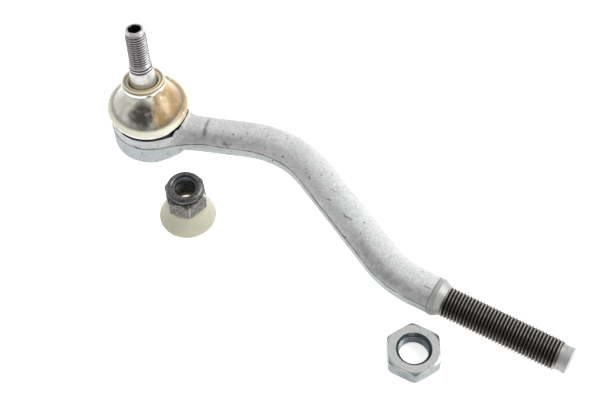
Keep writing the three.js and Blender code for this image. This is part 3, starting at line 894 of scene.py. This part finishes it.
def shank():
    """Collar, chamfer, helical thread and pilot tip as one turned skin."""
    angles = around(STEPS)
    thread_end = THREAD_START + THREAD_LENGTH
    tip = thread_end + PILOT_LENGTH
    head = rounded([
        (0, ARM_END - 5), (COLLAR_RADIUS - 1, ARM_END - 5), (COLLAR_RADIUS - 1, ARM_END - 0.5),
        (COLLAR_RADIUS, ARM_END + 0.1), (COLLAR_RADIUS, COLLAR_END),
        (THREAD_RADIUS - 0.25, THREAD_START),
    ], 0.25)
    heights = np.arange(THREAD_START + 0.05, thread_end - 0.05, THREAD_PITCH / 12)
    depth = thread_shape(heights, angles, THREAD_START, thread_end, THREAD_PITCH)
    crest = np.minimum(THREAD_RADIUS, THREAD_RADIUS - 0.25 + (heights - THREAD_START) * 0.4)
    crest = np.minimum(crest, THREAD_RADIUS - 0.9 + (thread_end - heights) * 0.9)
    radii = crest[:, None] - THREAD_DEPTH * depth
    tail = rounded([
        (PILOT_RADIUS - 0.25, thread_end), (PILOT_RADIUS - 0.25, thread_end + 1.6),
        (PILOT_RADIUS - 0.05, tip - 1.4), (PILOT_RADIUS, tip - 0.9),
        (PILOT_RADIUS - 0.9, tip), (PILOT_RADIUS - 1.6, tip),
        (PILOT_RADIUS - 2.1, tip - 0.25), (0, tip - 0.25),
    ], 0.3)
    points = np.concatenate([
        profile_rows(head, angles), rows(radii, heights, angles), profile_rows(tail, angles),
    ])
    depths = np.zeros(points.shape[:2])
    depths[len(head):len(head) + len(heights)] = depth
    points = np.stack([points[..., 2], points[..., 1] + SHANK_Y, ARM_MIDDLE - points[..., 0]], -1)
    # painted reflection: a dark band along the near upper side of the thread
    dark_reflection = 0.8 * np.exp(-((angles - DARK_REFLECTION_HEADING) / 0.5) ** 2) + np.zeros_like(depths)
    obj = skin("threaded_shank", points, values={"thread_depth_and_shade": depths, "dark_reflection": dark_reflection}, sharp=40)
    obj.data.materials.append(machined_material())
    root, flank, crest_tone = (0.015, 0.013, 0.012), (0.1, 0.093, 0.086), (0.44, 0.4, 0.37)
    obj.data.materials.append(
        threaded_material("shank_thread_finish", root, flank, crest_tone, 0.42, wear=0.3))
    for polygon in obj.data.polygons:
        place = polygon.center.x / MM
        polygon.material_index = int(THREAD_START - 0.4 < place < thread_end - 0.1)
    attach(obj, "arm")


# ---- Ball joint ----

def stud_frame():
    """Three unit axes of the leaning stud, its own axis last."""
    return np.stack([np.cross(TILT_AXIS, STUD_AXIS) * -1, TILT_AXIS * -1, STUD_AXIS])


def on_stud(points):
    """Places points given from the ball's centre along the stud."""
    return points @ stud_frame() + BALL


def ball_stud():
    angles = around(STEPS)
    low = math.degrees(math.asin(BALL_FLAT / BALL_RADIUS))
    high = math.degrees(math.acos(STUD_NECK / BALL_RADIUS))
    shaft = rounded([
        (STUD_NECK, 9.2), (STUD_NECK, 13.5), (CONE_RADIUS, 17.5), (CONE_RADIUS, CONE_START),
        (COLLAR_STUD_RADIUS + 0.1, CONE_END + 0.9), (COLLAR_STUD_RADIUS - 0.4, CONE_END + 1.25),
        (COLLAR_STUD_RADIUS - 0.4, CONE_END + 1.75), (COLLAR_STUD_RADIUS, CONE_END + 1.95),
        (COLLAR_STUD_RADIUS, CONE_END + 2.45), (COLLAR_STUD_RADIUS - 0.45, CONE_END + 2.7),
        (COLLAR_STUD_RADIUS - 0.45, CONE_END + 3.25), (COLLAR_STUD_RADIUS - 0.1, CONE_END + 3.5),
        (STUD_THREAD_RADIUS - 0.1, STUD_THREAD_START),
    ], 0.12)
    body = [(0, BALL_FLAT), *arc(0, 0, BALL_RADIUS, low, high, 40), *shaft]
    heights = np.arange(STUD_THREAD_START + 0.1, STUD_THREAD_END, STUD_PITCH / 12)
    depth = thread_shape(heights, angles, STUD_THREAD_START, STUD_THREAD_END, STUD_PITCH)
    crest = np.minimum(STUD_THREAD_RADIUS, STUD_TIP_RADIUS + 0.15 + (STUD_THREAD_END - heights) * 0.14)
    radii = crest[:, None] - STUD_THREAD_DEPTH * depth
    apothem = SOCKET_FLATS / 2
    end = rounded([
        (STUD_TIP_RADIUS + 0.1, STUD_THREAD_END), (STUD_TIP_RADIUS - 0.15, STUD_TIP),
        (apothem + 0.75, STUD_TIP),
    ], 0.2)
    socket = np.concatenate([
        rows(np.stack([hexagon_radius(size, angles)]), [height], angles)
        for size, height in (
            (apothem + 0.25, STUD_TIP - 0.02), (apothem, STUD_TIP - 0.4), (apothem, STUD_TIP - SOCKET_DEPTH),
        )
    ])
    bottom = profile_rows([(0, STUD_TIP - SOCKET_DEPTH - 1.2)], angles)
    points = np.concatenate([
        profile_rows(body, angles), rows(radii, heights, angles), profile_rows(end, angles),
        socket, bottom,
    ])
    depths = np.zeros(points.shape[:2])
    depths[len(body):len(body) + len(heights)] = depth
    depths[-4:] = 1                             # the socket's inside, painted dark as shade
    # painted shadow: the two grooves below the thread are darkened as if shaded
    along = np.array(body)[:, 1] - CONE_END
    grooves = (np.abs(along - 1.5) < 0.35) | (np.abs(along - 2.97) < 0.38)
    depths[:len(body)][grooves] = 0.95
    obj = skin("ball_stud_body", on_stud(points), values={"thread_depth_and_shade": depths}, sharp=38)
    finish_of_stud = threaded_material(
        "stud_steel", (0.03, 0.027, 0.029), (0.34, 0.325, 0.33), (0.6, 0.585, 0.59), 0.28)
    install(obj, "ball_stud", "stud", finish_of_stud)


def seats():
    inner, outer = 9.3, 11.3
    split = BALL[2]
    plastic = mottled_material("seat_acetal", (0.7, 0.68, 0.6), (0.8, 0.78, 0.72), 0, 0.4)
    mouth = math.degrees(math.asin(5.4 / inner))
    side = math.degrees(math.acos(10.9 / outer))
    upper = [
        (10.9, split + 0.15), *arc(0, split, outer, side, mouth + 3, 10),
        *arc(0, split, inner, mouth, math.degrees(math.asin(0.15 / inner)), 14),
    ]
    base = 3.9
    low = math.degrees(math.asin((base + 1 - split) / inner))
    lower = [
        (inner * math.cos(math.radians(low)), base), (10.9, base), (10.9, split - 0.15),
        *arc(0, split, inner, -math.degrees(math.asin(0.15 / inner)), low, 16),
    ]
    for node, outline in (("upper_ball_seat", upper), ("lower_ball_seat", lower)):
        obj = skin(node + "_shell", profile_rows(outline, around(STEPS)), closed=True)
        install(obj, node, "arm", plastic)


def preload_spring():
    outline = [(10.6, 2.35), (10.6, 2.95), (5, 3.6), (5, 3.0)]
    spring = turned_ring("preload_spring_disc", outline, STEPS, 0.1)
    install(spring, "preload_spring", "arm", mottled_material(
        "spring_steel", (0.3, 0.3, 0.31), (0.45, 0.45, 0.47), 1, 0.3))


def closing_cover():
    outline = rounded([
        (0, 0), (7.5, 0), (9.1, 0.9), (12, 0.9), (12, 2), (9.1, 2), (7.5, 1.1), (0, 1.1),
    ], 0.3)
    cover = skin("closing_cover_disc", profile_rows(outline, around(STEPS)))
    install(cover, "closing_cover", "arm", mottled_material(
        "cover_steel", (0.5, 0.5, 0.49), (0.68, 0.69, 0.7), 0.9, 0.35))


def cover_seal():
    section = arc(11.65, 2.75, 0.42, 0, 345, 23)
    seal = skin("cover_seal", profile_rows(section, around(STEPS)), closed=True)
    install(seal, "cover_seal_ring", "arm", mottled_material(
        "seal_rubber", (0.015, 0.015, 0.016), (0.03, 0.03, 0.03), 0, 0.6))


def lean_with_stud(points):
    """Turns points about the ball's centre, from square to the housing at one height to in
    line with the stud at another."""
    lean = math.acos(STUD_AXIS[2])
    flat = points.reshape(-1, 3) - BALL
    angle = (lean * smoothstep(flat[:, 2] + BALL[2], BOOT_LEAN_START, BOOT_LEAN_END))[:, None]
    along = flat @ TILT_AXIS
    turned = flat * np.cos(angle) + np.cross(TILT_AXIS, flat) * np.sin(angle)
    turned += TILT_AXIS * along[:, None] * (1 - np.cos(angle))
    return (turned + BALL).reshape(points.shape)


def boot_outline():
    mouth = BALL[2] + 23.2
    groove_top = BALL[2] + UPPER_RING["base"] + UPPER_RING["height"] + 0.15
    groove_base = BALL[2] + UPPER_RING["base"] - 0.15
    collar = UPPER_RING["inner"] - 0.15
    foot = LOWER_RING["inner"] - 0.15
    foot_inner = NECK_RADIUS + 0.3
    bead = arc(BOOT_RIM_RADIUS - BOOT_BEAD, BOOT_RIM_HEIGHT, BOOT_BEAD, -50, 80, 9)
    inside = [(radius - 0.77 * BOOT_WALL, height - 0.64 * BOOT_WALL) for radius, height in BOOT_CONE]
    outside = rounded([
        (foot_inner, 17.7), (foot, 17.7), (foot, 20.1), *bead, *BOOT_CONE,
        (collar + 1, groove_base - 0.6), (collar, groove_base + 0.1),
        (collar, groove_top), (collar + 0.5, groove_top + 0.3), (collar + 0.4, mouth - 0.1),
        (collar - 0.1, mouth), (collar - 0.35, mouth - 0.55), (collar - 1.1, mouth - 0.6),
        (collar - 1.4, mouth - 0.35), (6.75, mouth - 0.9), (6.55, mouth - 1.6),
        (6.7, groove_base - 0.8),
    ], 0.45, steps=4)
    inward = rounded([*inside[::-1], (foot_inner, 20.1)], 0.4)
    return outside + inward


def dust_boot():
    outline = np.array(boot_outline())
    points = profile_rows(outline, around(BOOT_STEPS))
    radii, heights = outline.T
    thick = smoothstep(radii, 15.6, 16.6)
    # painted shade: dark rings in the crease inside the rim bead and in the groove by the lip
    rim_crease_shade = 0.6 * np.exp(-((radii - 15.6) / 0.8) ** 2)
    lip_groove = 0.75 * np.exp(-((radii - 8.2) / 0.4) ** 2) * (heights > 33)
    crease_shade = np.maximum(rim_crease_shade, lip_groove)
    lip = smoothstep(heights, 33.4, 34.3)
    values = {
        label: numbers[:, None] * np.ones(BOOT_STEPS)
        for label, numbers in (("thick", thick), ("crease_shade", crease_shade), ("lip", lip))
    }
    obj = skin("dust_boot_skin", lean_with_stud(points), closed=True, values=values, sharp=80)
    obj.data.materials.append(boot_material())
    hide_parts("dust_boot")
    half_lean = STUD_AXIS + np.array([0, 0, 1])
    half_lean /= np.linalg.norm(half_lean)
    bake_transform(obj)


def boot_lower_ring(steel):
    """A flat coil of a little more than one turn, with its open end in sight."""
    inner, outer, base, coil, azimuth = LOWER_RING.values()
    section = np.array(rounded(rectangle(inner, outer, 0, coil), 0.22, closed=True))
    turns = np.radians(np.linspace(0, 465, 200))
    start = math.radians(azimuth)
    rings = []
    for turn in turns:
        heading = start - turn
        rise = (coil + 0.08) * smoothstep(np.array(turn), 0.2, TAU * 0.97)
        rings.append(np.stack([
            section[:, 0] * math.cos(heading), section[:, 0] * math.sin(heading),
            section[:, 1] + base + rise,
        ], -1))
    ends = [np.repeat(ring.mean(0)[None], len(section), 0) for ring in (rings[0], rings[-1])]
    lower = skin("boot_lower_ring_coil", np.array([ends[0], *rings, ends[1]]))
    install(lower, "boot_lower_ring", "boot_foot", steel)


def boot_upper_ring(steel):
    outline = rectangle(**UPPER_RING)
    upper = turned_ring("boot_upper_ring_band", outline, FINE_STEPS, 0.45, place=on_stud)
    install(upper, "boot_upper_ring", "boot_neck", steel)


def boot_rings():
    steel = mottled_material(
        "ring_steel", (0.7, 0.71, 0.72), (0.9, 0.9, 0.91), 1, 0.13, grain=0.00002)
    boot_lower_ring(steel)
    boot_upper_ring(steel)


# ---- Nuts ----

def chamfered_hexagon(flats, heights, top, angles, turn, proud, both_faces):
    """Radii of a hexagonal nut whose corners are cut by a 30 degree cone at its top or at both
    faces. proud is how far the cone's edge on the face stands outside the flats."""
    side = hexagon_radius(flats / 2, angles, turn)
    from_face = np.minimum(heights, top - heights) if both_faces else top - heights
    cone = (flats / 2 + proud + from_face / math.tan(math.radians(30)))[:, None]
    edge = np.minimum(heights, top - heights)[:, None]
    softened = side[None, :] - np.clip(0.35 - edge, 0, 0.35) ** 2 / 0.35
    return np.minimum(softened, cone)


def bore_rows(heights, angles, minor, depth, pitch, start, end):
    """An internal thread, as radii and thread depths."""
    shape = thread_shape(heights, angles, start - pitch, end + pitch, pitch)
    return minor + depth * (1 - shape), 1 - shape


def stand_at(axis, base):
    return lambda points: points + np.array([axis[0], axis[1], base])


def jam_nut():
    angles = around(NUT_STEPS)
    turn = math.radians(JAM["turn"])
    height, bore, mouth = JAM["height"], JAM["bore"], JAM["mouth"]
    zone = np.concatenate([[0, 0.07, 0.15, 0.25], np.linspace(0.35, 1.4, 11)])
    outer_heights = np.concatenate([zone, [2, height / 2, height - 2], height - zone[::-1]])
    outer = chamfered_hexagon(JAM["flats"], outer_heights, height, angles, turn, 0, True)
    inner_heights = np.linspace(height, 0, 120)
    thread, depth = bore_rows(inner_heights, angles, bore, JAM["depth"], JAM["pitch"], 0, height)
    cone = np.maximum(mouth - inner_heights, mouth - (height - inner_heights))[:, None]
    inner = np.maximum(thread, np.maximum(cone, bore))
    # painted shade: the whole bore and its chamfered mouths are darkened
    depth = np.where(cone > thread, 0.75, 0.42 + 0.58 * depth)
    depth[[0, -1]] = 0
    points = np.concatenate([rows(outer, outer_heights, angles), rows(inner, inner_heights, angles)])
    on_flat = (outer_heights > 0.4) & (outer_heights < height - 0.4)
    depths = np.concatenate([0.22 * on_flat[:, None] * np.ones((1, NUT_STEPS)), depth])
    points = stand_at(JAM_NUT_AXIS, 0)(points)
    obj = skin("jam_nut_body", points, closed=True, values={"thread_depth_and_shade": depths}, sharp=28)
    zinc = threaded_material(
        "zinc_plate", (0.01, 0.018, 0.025), (0.2, 0.235, 0.25), (0.55, 0.56, 0.55), 0.24)
    install(obj, "jam_nut", "shank_nut", zinc)


def lock_nut():
    angles = around(NUT_STEPS)
    turn = math.radians(LOCK["turn"])
    hex_height, height, collar = LOCK["hex_height"], LOCK["height"], LOCK["collar"]
    zone = np.linspace(0, 1.5, 16)
    heights = np.concatenate([[0, 0.3, hex_height / 2, hex_height - 2], hex_height - zone[::-1]])
    sides = chamfered_hexagon(LOCK["flats"], heights, hex_height, angles, turn, -0.3, False)
    lip = INSERT["outer"] - 0.5
    seat_radius = INSERT["outer"] + 0.15
    seat_height = INSERT["base"] - 0.15
    crown = rounded([
        (collar - 0.75, hex_height), (collar - 0.75, hex_height + 0.35), (collar - 0.1, hex_height + 1),
        (collar, height - 1.3), (collar - 0.45, height - 0.5), (collar - 1.3, height), (lip + 0.6, height),
        (lip, height - 0.35), (lip, height - 0.75), (seat_radius, height - 0.78),
        (seat_radius, seat_height),
    ], 0.35, steps=4)
    inner_heights = np.linspace(seat_height, 0, 90)
    thread, depth = bore_rows(
        inner_heights, angles, LOCK["bore"], LOCK["depth"], LOCK["pitch"], 0, seat_height)
    cone = (5 - inner_heights)[:, None]
    inner = np.maximum(thread, cone)
    points = np.concatenate([
        rows(sides, heights, angles), profile_rows(crown, angles),
        rows(inner, inner_heights, angles),
    ])
    outside = len(heights) + len(crown)         # rows before the bore
    depths = np.zeros(points.shape[:2])
    # painted shade: the whole bore and its mouth are darkened
    depths[outside:] = np.where(cone > thread, 0.9, 0.55 + depth * 0.45)
    # painted shade in the crease where the crown meets the hexagon
    above_hexagon = points[:outside, :, 2] - hex_height
    depths[:outside] = 0.75 * np.exp(-((above_hexagon - 0.35) / 0.35) ** 2)
    # painted shade on the crown's inner wall, down to the insert
    inside_lip = np.array(crown)[:, 0] < lip + 0.1
    depths[len(heights):outside][inside_lip] = 0.95
    corner = np.abs((angles - turn + TAU / 12) % (TAU / 6) - TAU / 12)
    worn = np.zeros(points.shape[:2])
    worn[:len(heights)] = 0.7 * np.exp(-(corner / 0.035) ** 2)
    place = stand_at(LOCK_NUT_AXIS, LOCK_NUT_BASE)
    values = {"thread_depth_and_shade": depths, "worn": worn}
    obj = skin("lock_nut_body", place(points), closed=True, values=values, sharp=30)
    install(obj, "lock_nut", "stud_nut", phosphate_material())


def nylon_insert():
    outline = rectangle(**INSERT)
    place = stand_at(LOCK_NUT_AXIS, LOCK_NUT_BASE)
    insert = turned_ring("nylon_insert_ring", outline, STEPS, 0.55, place=place)
    install(insert, "nylon_insert", "stud_nut", mottled_material(
        "nylon", (0.05, 0.06, 0.075), (0.13, 0.145, 0.165), 0, 0.35))


def nut_skirt():
    base, top, height, wall, hole = SKIRT.values()
    belly = (base + top) / 2 - 0.2
    outline = rounded([
        (base - wall, 0), (base - 0.1, 0), (base, 0.5), (belly, height / 2), (top, height - 0.8),
        (top - 0.9, height), (hole, height), (hole, height - wall), (top - wall, height - wall),
        (belly - wall, height / 2),
    ], 0.6, steps=4, closed=True)
    points = stand_at(LOCK_NUT_AXIS, 0)(profile_rows(outline, around(FINE_STEPS)))
    obj = skin("nut_skirt_cone", points, closed=True, sharp=60)
    install(obj, "nut_skirt", "arm", skirt_material())


# ---- Build ----

camera()
studio()
floor()
forging()
shank()
ball_stud()
seats()
preload_spring()
closing_cover()
cover_seal()
dust_boot()
boot_rings()
jam_nut()
lock_nut()
nylon_insert()
nut_skirt()
